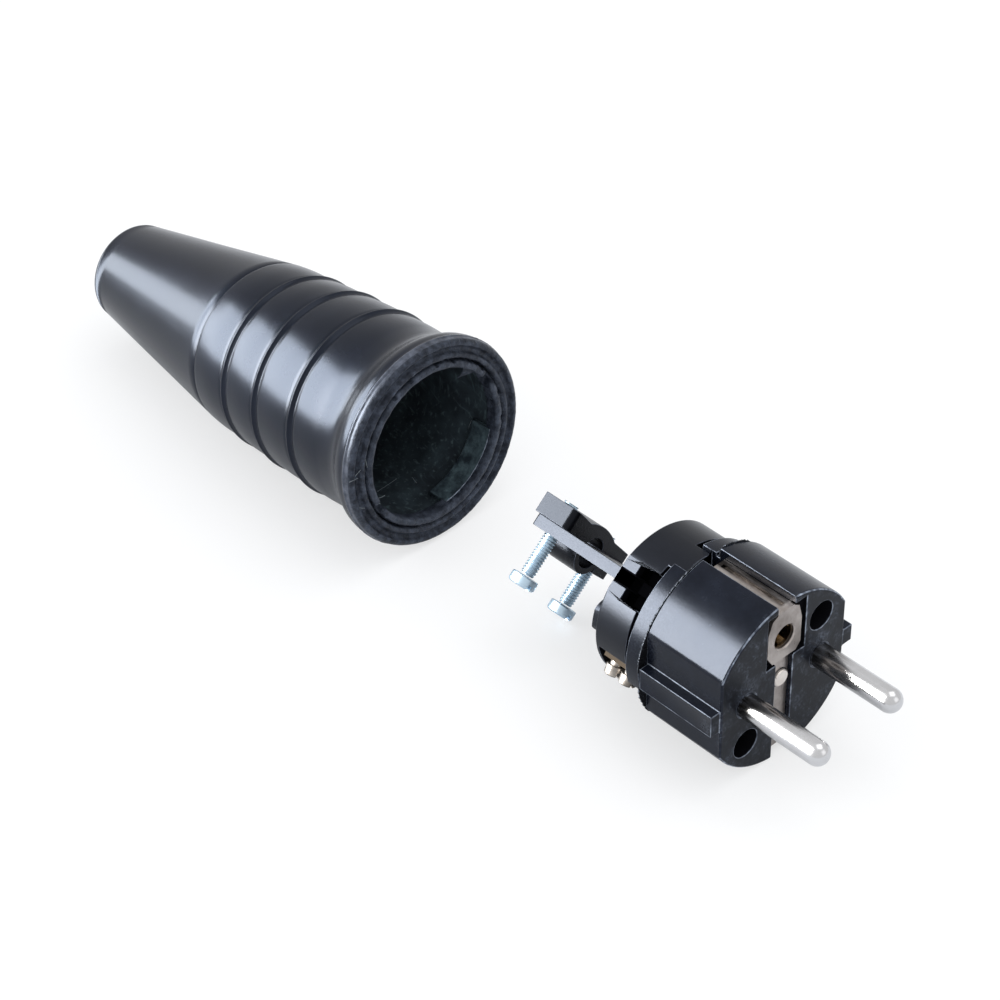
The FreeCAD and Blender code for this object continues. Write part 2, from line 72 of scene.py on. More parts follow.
class Shader:
    """A small help for wiring one material's nodes."""

    def __init__(self, name):
        self.material = bpy.data.materials.new(name)
        self.material.use_nodes = True
        self.tree = self.material.node_tree
        self.main = self.tree.nodes["Principled BSDF"]
        self.place = self.add("ShaderNodeTexCoord").outputs["Object"]

    def add(self, kind, **settings):
        node = self.tree.nodes.new(kind)
        for key, value in settings.items():
            setattr(node, key, value)
        return node

    def wire(self, source, target):
        self.tree.links.new(source, target)

    def noise(self, scale, detail, rough, stretch=(1, 1, 1), turn=(0, 0, 0)):
        shift = self.add("ShaderNodeMapping")
        shift.vector_type = "TEXTURE"
        shift.inputs["Scale"].default_value = tuple(1 / c for c in stretch)
        shift.inputs["Rotation"].default_value = turn
        self.wire(self.place, shift.inputs["Vector"])
        node = self.add("ShaderNodeTexNoise")
        node.inputs["Scale"].default_value = scale
        node.inputs["Detail"].default_value = detail
        node.inputs["Roughness"].default_value = rough
        self.wire(shift.outputs["Vector"], node.inputs["Vector"])
        return node.outputs["Fac"]

    def along(self, axis):
        """One coordinate of the place on the object, in metres."""
        split = self.add("ShaderNodeSeparateXYZ")
        self.wire(self.place, split.inputs["Vector"])
        return split.outputs[axis]

    def ramp(self, source, low, high, start=0.0, stop=1.0):
        node = self.add("ShaderNodeMapRange")
        node.inputs["From Min"].default_value = low
        node.inputs["From Max"].default_value = high
        node.inputs["To Min"].default_value = start
        node.inputs["To Max"].default_value = stop
        self.wire(source, node.inputs["Value"])
        return node.outputs["Result"]

    def combine(self, operation, a, b):
        """Two values worked into one; the second may be a plain number."""
        node = self.add("ShaderNodeMath", operation=operation)
        self.wire(a, node.inputs[0])
        if isinstance(b, float):
            node.inputs[1].default_value = b
        else:
            self.wire(b, node.inputs[1])
        return node.outputs[0]

    def times(self, a, b):
        return self.combine("MULTIPLY", a, b)

    def plus(self, a, b):
        return self.combine("ADD", a, b)

    def blend(self, amount, a, b):
        node = self.add("ShaderNodeMix", data_type="RGBA")
        self.wire(amount, node.inputs["Factor"])
        for socket, value in ((node.inputs[6], a), (node.inputs[7], b)):
            if isinstance(value, tuple):
                socket.default_value = value
            else:
                self.wire(value, socket)
        return node.outputs[2]

    def bump(self, height, strength, distance):
        node = self.add("ShaderNodeBump")
        node.inputs["Strength"].default_value = strength
        node.inputs["Distance"].default_value = distance
        self.wire(height, node.inputs["Height"])
        self.wire(node.outputs["Normal"], self.main.inputs["Normal"])

    def specks(self, scale, size, share):
        """Small round dust specks, only in a share of the cells."""
        cells = self.add("ShaderNodeTexVoronoi")
        cells.inputs["Scale"].default_value = scale
        self.wire(self.place, cells.inputs["Vector"])
        near = self.ramp(cells.outputs["Distance"], size * 0.5, size, 1.0, 0.0)
        split = self.add("ShaderNodeSeparateColor")
        self.wire(cells.outputs["Color"], split.inputs["Color"])
        chosen = self.ramp(split.outputs["Red"], share, share * 0.98, 0.0, 1.0)
        return self.times(near, chosen)


def whitish_marks(s, spots):
    """Pale patches and scuffs on the front face, and fine ones round chosen spots."""
    front = s.ramp(s.along("X"), -0.0011, -0.0002)
    patches = s.times(s.ramp(s.noise(340, 8, 0.72), 0.5, 0.72), s.ramp(s.noise(1700, 4, 0.6), 0.42, 0.66))
    scuffs = s.ramp(s.noise(620, 4, 0.6, (1, 1, 9), (0.6, 0, 0)), 0.62, 0.7)
    marks = s.times(front, s.plus(patches, s.times(scuffs, 0.5)))
    for spot, reach, amount in spots:
        gap = s.add("ShaderNodeVectorMath", operation="DISTANCE")
        s.wire(s.place, gap.inputs[0])
        gap.inputs[1].default_value = tuple(c * MM for c in spot)
        close = s.ramp(gap.outputs["Value"], reach * MM * 0.3, reach * MM, amount, 0.0)
        marks = s.plus(marks, s.times(close, s.ramp(s.noise(2400, 8, 0.75), 0.45, 0.66)))
    return marks


def with_fibres(s, shade, amount):
    """Thin pale fibres that cross in three directions."""
    for number in range(3):
        turn = (0.2 + number * 1.1, 0.4 + number * 0.7, number * 2.1)
        lines = s.noise(30, 2, 0.5, (1, 36, 36), turn)
        shade = s.blend(s.times(s.ramp(lines, 0.61, 0.74), amount), shade, colour(90, 106, 110))
    return shade


def rubber(name, base, haze, rough, haze_amount, grain, dust, gloss, cloud_size=70, marks=0.0, spots=(),
           fibres=0.0):
    """Moulded black rubber or plastic: bluish black with a hazy bloom, fine grain and a little dust."""
    s = Shader(name)
    cloud = s.ramp(s.noise(cloud_size, 7, 0.62), 0.42, 0.72)
    fine = s.noise(900, 3, 0.6)
    mottle = s.ramp(s.noise(330, 7, 0.7), 0.46, 0.74)
    bloom = s.times(s.plus(s.times(cloud, 0.6), s.times(mottle, 0.4)), haze_amount)
    shade = s.blend(bloom, base, haze)
    if marks:
        shade = s.blend(s.times(whitish_marks(s, spots), marks), shade, colour(104, 112, 127))
    if fibres:
        shade = with_fibres(s, shade, fibres)
    shade = s.blend(s.specks(420, 0.13, dust), shade, colour(150, 155, 165))
    s.wire(shade, s.main.inputs["Base Color"])
    uneven_shine = s.plus(s.times(cloud, 0.5), s.times(fine, 0.5))
    s.wire(s.ramp(uneven_shine, 0.2, 0.8, rough - 0.02, rough + 0.03), s.main.inputs["Roughness"])
    s.main.inputs["Specular IOR Level"].default_value = gloss
    s.main.inputs["Specular Tint"].default_value = (0.74, 0.82, 1.0, 1.0)
    s.bump(s.plus(s.times(fine, 0.6), s.noise(2600, 2, 0.5)), grain, 0.0004)
    return s.material


def pin_root_stains_and_block_shade(s, shade):
    """Dark streaks at the pins' root, and painted shade that makes the terminal blocks behind it nearly
    black.
    """
    out = s.along("X")
    streaks = s.ramp(s.noise(900, 5, 0.65, (0.12, 1, 1)), 0.4, 0.62)
    shade = s.blend(s.times(s.ramp(out, 0.0005, 0.0085, 1.0, 0.0), streaks), shade, colour(58, 52, 46))
    return s.blend(s.ramp(out, -0.014, -0.0145), shade, colour(15, 12, 9))


def channel_dirt_and_shade(s, shade):
    """Darkening along the earth plate's run behind the face, heavier on the far side: painted shade from the
    channel's walls, with dirty streaks through it.
    """
    behind = s.ramp(s.along("X"), -0.0012, -0.0017)
    far_side = s.ramp(s.along("Y"), -0.0004, 0.0003, 0.12, 1.0)
    streaks = s.ramp(s.noise(520, 5, 0.65, (0.25, 1.6, 1)), 0.3, 0.6, 0.5, 1.0)
    return s.blend(s.times(behind, s.times(far_side, streaks)), shade, colour(34, 30, 27))


def metal(name, base, tarnish, rough, tarnish_amount, brushed=(1, 1, 1), scratch=0.02, dullness=0.0,
          dirt_and_shade=None):
    """Plated metal with faint tarnish, fine scratches along one way, and, where a function is given, its own
    stains, dirty streaks and painted shade.
    """
    s = Shader(name)
    s.main.inputs["Metallic"].default_value = 1.0 - dullness
    shade = s.blend(s.ramp(s.noise(240, 5, 0.65), 0.42, 0.75, 0.0, tarnish_amount), base, tarnish)
    if dirt_and_shade:
        shade = dirt_and_shade(s, shade)
    s.wire(shade, s.main.inputs["Base Color"])
    lines = s.noise(1400, 4, 0.7, brushed)
    s.wire(s.ramp(lines, 0.3, 0.75, rough * 0.88, rough * 1.16), s.main.inputs["Roughness"])
    s.bump(lines, scratch, 0.0003)
    return s.material


def give(obj, material):
    obj.data.materials.clear()
    obj.data.materials.append(material)


sleeve_rubber = rubber("sleeve rubber", colour(12, 16, 26), colour(30, 36, 52), rough=0.24, haze_amount=0.35,
                       grain=0.02, dust=0.01, gloss=0.22)
cavity_rubber = rubber("cavity rubber", colour(33, 38, 43), colour(68, 82, 88), rough=0.5, haze_amount=0.75,
                       grain=0.05, dust=0.02, gloss=0.3, cloud_size=150, fibres=0.55)
mouth_rubber = rubber("mouth rubber", colour(18, 21, 28), colour(82, 89, 103), rough=0.44, haze_amount=0.85,
                      grain=0.4, dust=0.03, gloss=0.24, cloud_size=620)
ring_rubber = rubber("inner ring rubber", colour(28, 32, 40), colour(88, 95, 109), rough=0.46,
                     haze_amount=0.78, grain=0.4, dust=0.03, gloss=0.27, cloud_size=620)
# The second spot lightens the collar: real whitish haze, partly a painted highlight.
body_rubber = rubber("body rubber", colour(13, 16, 25), colour(38, 44, 58), rough=0.26, haze_amount=0.35,
                     grain=0.03, dust=0.008, gloss=0.16, cloud_size=160, marks=0.6,
                     spots=(((-1.2, -16.8, -0.8), 3.0, 0.6), ((-20.7, -13.0, 9.0), 9.0, 0.3)))
face_rubber = rubber("front face rubber", colour(15, 17, 22), colour(38, 42, 51), rough=0.34,
                     haze_amount=0.35, grain=0.03, dust=0.008, gloss=0.1, cloud_size=160, marks=0.6,
                     spots=(((0, -9.5, 3.0), 3.6, 0.9), ((0, 9.5, 3.0), 3.6, 0.7)))
cover_plastic = rubber("cover moulding", colour(17, 18, 23), colour(34, 36, 43), rough=0.3, haze_amount=0.35,
                       grain=0.03, dust=0.003, gloss=0.19)
clamp_plastic = rubber("clamp moulding", colour(10, 11, 14), colour(24, 25, 30), rough=0.27, haze_amount=0.4,
                       grain=0.05, dust=0.004, gloss=0.13)
# A lighter, glossier copy of the clamp moulding for the arm's top edge: a painted highlight.
arm_top_highlight = rubber("arm top, painted highlight", colour(22, 23, 28), colour(52, 54, 62), rough=0.3, haze_amount=0.4,
                   grain=0.05, dust=0.004, gloss=0.2)
# Lighter colour on the body's rounded edges and the pad's chamfers: a painted highlight.
bright_edge_highlight = rubber("bright painted edge highlight", colour(46, 50, 60), colour(176, 186, 202), rough=0.4,
                   haze_amount=1.0, grain=0.1, dust=0.0, gloss=0.3, cloud_size=700)
# Lighter colour on the rounded edges of the cover and clamp and on the sleeve's flange lip: a painted
# highlight.
pale_edge_highlight = rubber("pale painted edge highlight", colour(40, 43, 51), colour(120, 126, 140), rough=0.36, haze_amount=0.8,
                   grain=0.05, dust=0.0, gloss=0.3, cloud_size=500)
pad_rubber = rubber("pad rubber", colour(34, 42, 48), colour(100, 120, 126), rough=0.45, haze_amount=0.9,
                    grain=0.2, dust=0.02, gloss=0.3, cloud_size=420)
lint_grey = rubber("lint", colour(120, 126, 130), colour(170, 178, 182), rough=0.6, haze_amount=0.5,
                   grain=0.0, dust=0.0, gloss=0.2)
# Near-black moulding flash; the same material is the painted shadow ring round the rivet.
flash_and_shadow_rubber = rubber("moulding flash", colour(10, 10, 12), colour(30, 31, 34), rough=0.5, haze_amount=0.4,
                      grain=0.1, dust=0.0, gloss=0.3)
deep_shadow = rubber("unlit hollow", colour(15, 15, 18), colour(27, 27, 31), rough=0.6, haze_amount=0.3,
                     grain=0.0, dust=0.0, gloss=0.0)
pin_nickel = metal("polished nickel pins", colour(190, 190, 192), colour(156, 154, 152), rough=0.2,
                   tarnish_amount=0.3, brushed=(0.05, 1, 1), scratch=0.003, dirt_and_shade=pin_root_stains_and_block_shade)
plate_nickel = metal("nickel sheet", colour(160, 153, 149), colour(96, 88, 84), rough=0.3, tarnish_amount=0.7,
                     brushed=(1, 1, 0.2), dullness=0.1, dirt_and_shade=channel_dirt_and_shade)
rivet_nickel = metal("rivet nickel", colour(212, 206, 200), colour(170, 155, 140), rough=0.34,
                     tarnish_amount=0.3, scratch=0.01, dullness=0.3)
spring_metal = metal("spring leaf", colour(214, 196, 168), colour(120, 96, 70), rough=0.22,
                     tarnish_amount=0.4)
brass = metal("bare brass", colour(112, 98, 82), colour(44, 37, 30), rough=0.25, tarnish_amount=0.8)
zinc = metal("blue zinc", colour(176, 196, 211), colour(120, 142, 160), rough=0.34, tarnish_amount=0.5,
             scratch=0.0, dullness=0.4)
terminal_nickel = metal("terminal screw nickel", colour(150, 144, 138), colour(38, 31, 25), rough=0.42,
                        tarnish_amount=1.0)

node_materials = {
    "front_body": body_rubber, "rear_cover": cover_plastic, "clamp_arm": clamp_plastic,
    "clamp_jaw": clamp_plastic, "earth_upper_strip": plate_nickel, "earth_lower_strip": plate_nickel,
    "earth_rivet": rivet_nickel, "earth_socket": brass, "earth_terminal": brass,
    "earth_terminal_screw": terminal_nickel, "pin_near": pin_nickel, "pin_far": pin_nickel,
    "rubber_sleeve": sleeve_rubber,
}
for node_name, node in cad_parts.items():
    plating = terminal_nickel if node_name.startswith("terminal_screw") else zinc
    give(node, node_materials.get(node_name, plating))


# Mesh building

BOX_FACES = [(0, 1, 3, 2), (4, 6, 7, 5), (0, 4, 5, 1), (2, 3, 7, 6), (0, 2, 6, 4), (1, 5, 7, 3)]


def box_corners(x, y, z):
    return [Vector((a, b, c)) for a in x for b in y for c in z]


def in_ring(count):
    """Each point of a closed ring with the one after it."""
    return [(turn, (turn + 1) % count) for turn in range(count)]


def skin(rows, around, first=0, closed=False):
    """Four-sided faces between rows of points, where each row is a closed ring."""
    faces = []
    for row in range(rows if closed else rows - 1):
        a = first + row * around
        b = first + (row + 1) % rows * around
        faces += [(a + turn, b + turn, b + then, a + then) for turn, then in in_ring(around)]
    return faces


def new_piece(name, verts, faces, material, smooth=True):
    mesh = bpy.data.meshes.new(name)
    mesh.from_pydata([tuple(c * MM for c in v) for v in verts], [], faces)
    mesh.validate()
    if smooth:
        mesh.polygons.foreach_set("use_smooth", [True] * len(mesh.polygons))
    obj = bpy.data.objects.new(name, mesh)
    bpy.context.scene.collection.objects.link(obj)
    give(obj, material)
    return obj


def baked(obj):
    """Applies the modifiers so the finished mesh stands by itself."""
    graph = bpy.context.evaluated_depsgraph_get()
    mesh = bpy.data.meshes.new_from_object(obj.evaluated_get(graph))
    obj.modifiers.clear()
    obj.data = mesh


# How far out along X and from the axis a rounded piece may reach, as its CAD node does
LIMITS = {"front_body": (0.0, FACE_RADIUS)}


def held_inside(obj, limit):
    if limit:
        for vert in obj.data.vertices:
            vert.co.x = min(vert.co.x, limit[0] * MM)
            share = limit[1] * MM / max(math.hypot(vert.co.y, vert.co.z), limit[1] * MM)
            vert.co.y *= share
            vert.co.z *= share


def softened(node_name, width, edge_material):
    """A copy of a CAD node with its sharp edges really rounded."""
    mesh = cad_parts[node_name].data.copy()
    obj = bpy.data.objects.new(node_name + "_rounded", mesh)
    bpy.context.scene.collection.objects.link(obj)
    work = bmesh.new()
    work.from_mesh(mesh)
    bmesh.ops.remove_doubles(work, verts=work.verts, dist=0.000004)
    bmesh.ops.dissolve_limit(work, angle_limit=math.radians(0.6), verts=work.verts, edges=work.edges)
    work.to_mesh(mesh)
    work.free()
    mesh.polygons.foreach_set("use_smooth", [True] * len(mesh.polygons))
    mesh.materials.append(edge_material)
    bevel = obj.modifiers.new("rounded edges", "BEVEL")
    bevel.material = 1
    bevel.width = width * MM
    bevel.segments = 2
    bevel.limit_method = "ANGLE"
    bevel.angle_limit = math.radians(52)
    bevel.use_clamp_overlap = False
    weighted = obj.modifiers.new("flat faces stay flat", "WEIGHTED_NORMAL")
    weighted.mode = "FACE_AREA"
    weighted.weight = 100
    weighted.keep_sharp = False
    baked(obj)
    held_inside(obj, LIMITS.get(node_name))
    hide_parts(node_name)
    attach(obj, BODY)
    return obj


# The rubber sleeve, in (s, r) pairs: s along its axis from the flange, r out from the axis

CONE_END = -96.8
CONE_END_RADIUS = 11.0
CONE_END_ROUND = 1.6
WAIST = [(-52.1, 18.13), (-51.95, 18.13), (-51.85, 18.26)]

# Each band's start, radius there, swell, stop and radius there
BANDS = ((-51.7, 18.3, 0.2, -43.0, 18.66), (-40.4, 18.94, 0.17, -32.4, 19.18),
         (-29.8, 19.46, 0.15, -20.6, 19.72), (-17.9, 19.84, 0.1, -10.4, 19.78))
RING_HEIGHTS = (0.44, 0.52, 0.52)

FLANGE = [(-9.0, 19.80), (-7.6, 19.84), (-6.4, 19.95), (-5.4, 20.2), (-4.5, 20.6), (-3.7, 21.05),
          (-2.9, 21.5), (-2.1, 21.85), (-1.3, 22.03), (-0.6, 22.08), (-0.1, 22.06), (0.1, 22.2),
          (0.35, 22.2), (0.5, 22.0), (0.9, 22.0), (1.4, 21.88), (1.8, 21.6)]
MOUTH_GROOVES = [(2.05, 21.2), (2.1, 20.85), (2.0, 20.65), (1.55, 20.5), (1.25, 20.2), (1.15, 19.8),
                 (1.25, 19.45), (1.6, 19.2), (2.05, 19.05), (2.2, 18.75), (2.2, 18.45), (2.05, 18.2),
                 (1.6, 18.0), (0.9, 17.92), (0.2, 17.85), (0.2, 17.7), (0.6, 17.6)]
MOUTH_RING = [(1.5, 17.52), (2.1, 17.35), (2.3, 17.05), (2.35, 16.7), (2.3, 16.3), (2.0, 16.05),
              (1.5, 15.95), (0.6, 15.95), (-0.5, 15.97), (-0.85, 16.1), (-1.0, 16.45), (-1.1, 16.9)]


def sleeve_profile():
    """Outer and inner line of the sleeve, from the inlet round to the inlet again."""
    line = [(-98.3, 4.2), (-98.35, 7.0)]
    for step in range(7):
        turn = math.radians(90 - step * 15)
        out = CONE_END_RADIUS - CONE_END_ROUND + CONE_END_ROUND * math.cos(turn)
        line.append((CONE_END - CONE_END_ROUND * math.sin(turn), out))
    line += spaced((CONE_END, CONE_END_RADIUS), (-52.2, 18.2), 18) + WAIST
    for number, (start, r0, swell, stop, r1) in enumerate(BANDS):
        for step in range(15):
            part = step / 14
            out = r0 + (r1 - r0) * part + swell * math.sin(math.pi * part)
            line.append((start + (stop - start) * part, out))
        if number < len(RING_HEIGHTS):
            after, r2 = BANDS[number + 1][:2]
            line += bead(stop, r1, after, r2, RING_HEIGHTS[number])
    line += FLANGE + MOUTH_GROOVES + MOUTH_RING
    line += spaced((-2.0, 16.92), (-7.0, 16.92), 3)
    line += spaced((-9.0, 16.2), (-50.0, 15.8), 7)
    line += spaced((-52.0, 15.45), (-91.0, 8.9), 7)
    line += [(-91.8, 7.5), (-92.4, 5.0), (-92.6, 4.25)]
    line += spaced((-93.5, 4.2), (-97.8, 4.2), 4)
    return line


def spaced(start, stop, count):
    return [(start[0] + (stop[0] - start[0]) * i / count, start[1] + (stop[1] - start[1]) * i / count)
            for i in range(count + 1)]


def bead(start, r0, stop, r1, height):
    """A thin raised ring between two bands, with a shallow groove on either side."""
    line = []
    for step in range(1, 20):
        part = step / 20
        base = r0 + (r1 - r0) * part
        rise = height * math.exp(-((part - 0.46) / 0.17) ** 2)
        rise -= 0.16 * math.exp(-((part - 0.86) / 0.09) ** 2)
        rise -= 0.08 * math.exp(-((part - 0.1) / 0.08) ** 2)
        line.append((start + (stop - start) * part, base + rise))
    return line


def sleeve_point(s, r, angle):
    """Angles are radians from -Y towards +Z, round the sleeve's own axis."""
    return SLEEVE_PLACE @ Vector((s, -r * math.cos(angle), r * math.sin(angle)))


def degrees_off(angle, centre):
    return abs((math.degrees(angle) - centre + 180) % 360 - 180)


def uneven(a, b, c=0.0):
    return noise.noise(Vector((a, b, c)))


def closeness(angle, centre, half_width):
    """1 in the middle of a spot on the rim, 0 outside it."""
    return max(0.0, min(1.0, (half_width - degrees_off(angle, centre)) / (half_width * 0.35)))


# Where the slit's lip is torn, and where the ring has its two notches and how wide they are
TEARS = (60, 76, 98, 112, 141, 168, -172, -150, -122)
NOTCHES = ((152, 7.5), (-26, 5))


def worn_point(s, r, angle):
    """Moves a profile point the way the moulding is uneven: ragged slit, torn lip, notches."""
    x, y = math.cos(angle), math.sin(angle)
    if s < -3:
        return s, r + 0.05 * uneven(x * 1.3 + s * 0.05, y * 1.3, 3.0)
    if s < -0.3 and r > 19:
        return s, r
    rough = uneven(x * 60, y * 60, 5.0)
    if r > 22.1:
        r += 0.05 * rough - 0.1 * abs(uneven(x * 25, y * 25, 2.0))
        s += 0.12 * uneven(x * 40, y * 40, 4.0)
    elif r > 18.3:
        s += 0.06 * uneven(x * 20, y * 20, r) + 0.04 * uneven(x * 70, y * 70, r)
    elif r > 17.3:
        shut = closeness(angle, -135, 85) * 0.85 + closeness(angle, 0, 14) * 0.6
        torn = max(closeness(angle, spot, 1.6) for spot in TEARS)
        if s < 1.4:
            s += 1.25 * max(0.0, shut - torn)
        r += 0.16 * uneven(x * 22, y * 22, 1.0) + 0.12 * rough
        if r < 17.75:
            r -= 0.45 * torn
        s += 0.25 * max(0, uneven(x * 35, y * 35, 9.0))
    elif r > 15.9 and s > -0.7:
        r += 0.08 * uneven(x * 9, y * 9, 2.0) + 0.06 * uneven(x * 45, y * 45, 6.0)
        s += 0.12 * uneven(x * 14, y * 14, 7.0) - 0.05
    notch = max(closeness(angle, centre, width + 2 * rough) for centre, width in NOTCHES)
    if notch > 0 and 15.9 < r < 17.4 and s > -0.7:
        r += (17.35 + 0.15 * rough - r) * notch
        s += (min(s, 0.4) - s) * notch
    return s, r


# The sleeve's material slots
OUTSIDE, MOUTH, CAVITY, RING, FLANGE_EDGE = range(5)


def sleeve_slot(s, r, inner):
    # The flange's outer lip takes the pale edge material: a painted highlight along its trim line.
    if s > -0.2 and r > 21.98:
        return FLANGE_EDGE
    if s > 0.4 and r > 17.8:
        return MOUTH
    if s > -0.9 and r < 17.8:
        return RING
    return CAVITY if r < 17.2 and inner else OUTSIDE


def sleeve_mesh():
    profile = sleeve_profile()
    around = 360
    verts = []
    for s, r in profile:
        for turn in range(around):
            angle = 2 * math.pi * turn / around
            verts.append(sleeve_point(*worn_point(s, r, angle), angle))
    count = len(profile)
    obj = new_piece("sleeve_moulding", verts, skin(count, around, closed=True), sleeve_rubber)
    for material in (mouth_rubber, cavity_rubber, ring_rubber, pale_edge_highlight):
        obj.data.materials.append(material)
    slots = []
    for row, (s, r) in enumerate(profile):
        slots += [sleeve_slot(s, r, row > count // 2)] * around
    obj.data.polygons.foreach_set("material_index", slots)
    return obj


sleeve = sleeve_mesh()
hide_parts("rubber_sleeve")
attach(sleeve, BODY)


PAD_SECTION = ((-4.7, 17.0), (-4.7, 16.1), (-4.45, 15.85), (0.6, 15.85), (0.85, 16.1), (0.85, 17.0))
PAD_CHAMFERS = (1, 3)


def mouth_pad():
    """The raised label pad inside the mouth, left bare: a slab bent round the sleeve's axis."""
    start, stop, rows, count = -98, -162, 43, len(PAD_SECTION)
    verts = []
    for row in range(rows):
        angle = math.radians(start + (stop - start) * row / (rows - 1))
        verts += [sleeve_point(s, r, angle) for s, r in PAD_SECTION]
    ends = [tuple(range(count)), tuple(range((rows - 1) * count, rows * count))[::-1]]
    obj = new_piece("mouth_pad", verts, ends + skin(rows, count), pad_rubber, smooth=False)
    obj.data.materials.append(bright_edge_highlight)
    # The chamfer faces take the bright edge material: a painted highlight.
    for polygon in obj.data.polygons:
        if polygon.index >= len(ends) and (polygon.index - len(ends)) % count in PAD_CHAMFERS:
            polygon.material_index = 1
    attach(obj, BODY)


mouth_pad()

# The flap's outline: radius, angle in degrees and place along the sleeve's axis
FLAP = ((16.2, 127, 0.9), (16.2, 140, 0.9), (15.3, 139, 0.3), (14.4, 138, -0.5), (13.4, 136, -1.2),
        (14.6, 134, -0.4), (15.5, 130, 0.4))
FLAP_THICKNESS = 0.12


def torn_flap():
    """The thin torn flap of flash that hangs into the mouth."""
    count = len(FLAP)
    verts = [sleeve_point(s - push, r, math.radians(a)) for push in (0.0, FLAP_THICKNESS) for r, a, s in FLAP]
    faces = [tuple(range(count)), tuple(range(count, 2 * count))[::-1]]
    faces += [(edge, edge + count, then + count, then) for edge, then in in_ring(count)]
    obj = new_piece("torn_flap", verts, faces, ring_rubber, smooth=False)
    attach(obj, BODY)


torn_flap()


def hair_points(points, thickness):
    """The corners of a thin four-sided hair through the given points, in millimetres."""
    verts = []
    for index, point in enumerate(points):
        ahead = points[min(index + 1, len(points) - 1)] - points[max(index - 1, 0)]
        across = ahead.cross(Vector((0.3, 0.2, 1))).normalized()
        second = ahead.cross(across).normalized()
        for turn in range(4):
            angle = math.pi / 2 * turn
            verts.append(point + (across * math.cos(angle) + second * math.sin(angle)) * thickness)
    return verts


# Each hair's root (angle in degrees, radius, place along the axis) and its length
HAIRS = ((-24, 16.3, 1.6, 2.4), (-28, 16.6, 1.9, 2.0), (-20, 16.0, 0.9, 2.6), (2, 16.0, 0.4, 3.4),
         (12, 19.0, 2.0, 1.8), (6, 19.6, 1.6, 2.6), (18, 18.4, 2.1, 1.6), (-12, 20.8, 2.0, 1.4),
         (-2, 22.0, 0.6, 0.9), (-160, 16.8, -5.5, 3.0), (-100, 16.6, -9.0, 5.0), (-70, 16.5, -12.0, 6.0))
HAIR_THICKNESS = 0.045
HAIR_STEPS = 8


def lint():
    """A few pale fibres caught on the rim and in the mouth."""
    verts, faces = [], []
    for angle, r, s, length in HAIRS:
        at = Vector(sleeve_point(s, r - 0.08, math.radians(angle)))
        way = Vector((random.uniform(-0.3, 0.3), random.uniform(-1, 1), random.uniform(-1, 1)))
        inward = Vector(sleeve_point(s, 0, 0)) - at
        way = (way.normalized() + inward.normalized() * 0.35).normalized()
        bend = Vector((random.uniform(-1, 1), random.uniform(-1, 1), random.uniform(-1, 1))) * 0.06
        points = [at + way * length * k / HAIR_STEPS + bend * length * (k / HAIR_STEPS) ** 2 * 4
                  for k in range(HAIR_STEPS + 1)]
        faces += skin(len(points), 4, first=len(verts))
        verts += hair_points(points, HAIR_THICKNESS)
    obj = new_piece("lint", verts, faces, lint_grey)
    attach(obj, BODY)


lint()


# The insert: its mouldings with rounded edges, and which of their faces have another material

SCREW_HOLE_SIDE = 9.3
SCREW_HOLE_HEIGHT = 9.5
ARM_ENTRY = -32.4


def in_body_hollow(p, normal):
    """The two screw holes, the earth plate's seat and the groove down the face."""
    from_hole = min(math.hypot(p.y + side * SCREW_HOLE_SIDE, p.z + side * SCREW_HOLE_HEIGHT)
                    for side in (1, -1))
    seat = abs(p.y) < 5.3 and 4.6 < p.z < 16.7
    groove = abs(p.y) < 2.3 and p.z < 14.9
    return (p.x < -0.5 and from_hole < 3.0) or (-2.0 < p.x < -0.1 and (seat or groove))


# The lobes' front edge, which takes the bright edge material as a painted highlight.
def on_front_edge(p, normal):
    return -0.32 < p.x < -0.06 and math.hypot(p.y, p.z) > 17.7


def on_front_face(p, normal):
    return normal.x > 0.95 and p.x > -0.5 and not on_front_edge(p, normal)


def in_cover_hollow(p, normal):
    return math.hypot(p.y, p.z) < 15.2 and p.x > -31.7


def in_arm_hook(p, normal):
    return p.x > ARM_ENTRY


# The arm's top edge outside the cover, which takes the lighter copy as a painted highlight.
def on_arm_top(p, normal):
    place = SLANT.inverted() @ p
    return place.z > 11.1 and place.x < ARM_ENTRY


def painted(obj, material, chosen):
    """Gives the faces chosen by their centre, in millimetres, and normal a material of their own."""
    if material.name not in obj.data.materials:
        obj.data.materials.append(material)
    slot = obj.data.materials.find(material.name)
    for polygon in obj.data.polygons:
        if chosen(polygon.center / MM, polygon.normal):
            polygon.material_index = slot


# Each moulding's node, edge width, edge material, material slot in the record, and repainted faces
MOULDINGS = (
    ("front_body", 0.15, bright_edge_highlight, "body_moulding",
     ((deep_shadow, in_body_hollow), (face_rubber, on_front_face), (bright_edge_highlight, on_front_edge))),
    ("rear_cover", 0.12, pale_edge_highlight, "cover_moulding", ((deep_shadow, in_cover_hollow),)),
    ("clamp_arm", 0.12, pale_edge_highlight, "clamp_moulding", ((deep_shadow, in_arm_hook), (arm_top_highlight, on_arm_top))),
    ("clamp_jaw", 0.12, pale_edge_highlight, "clamp_moulding", ()),
)

for node_name, width, edge, slot_name, repaints in MOULDINGS:
    piece = softened(node_name, width, edge)
    for material, chosen in repaints:
        painted(piece, material, chosen)


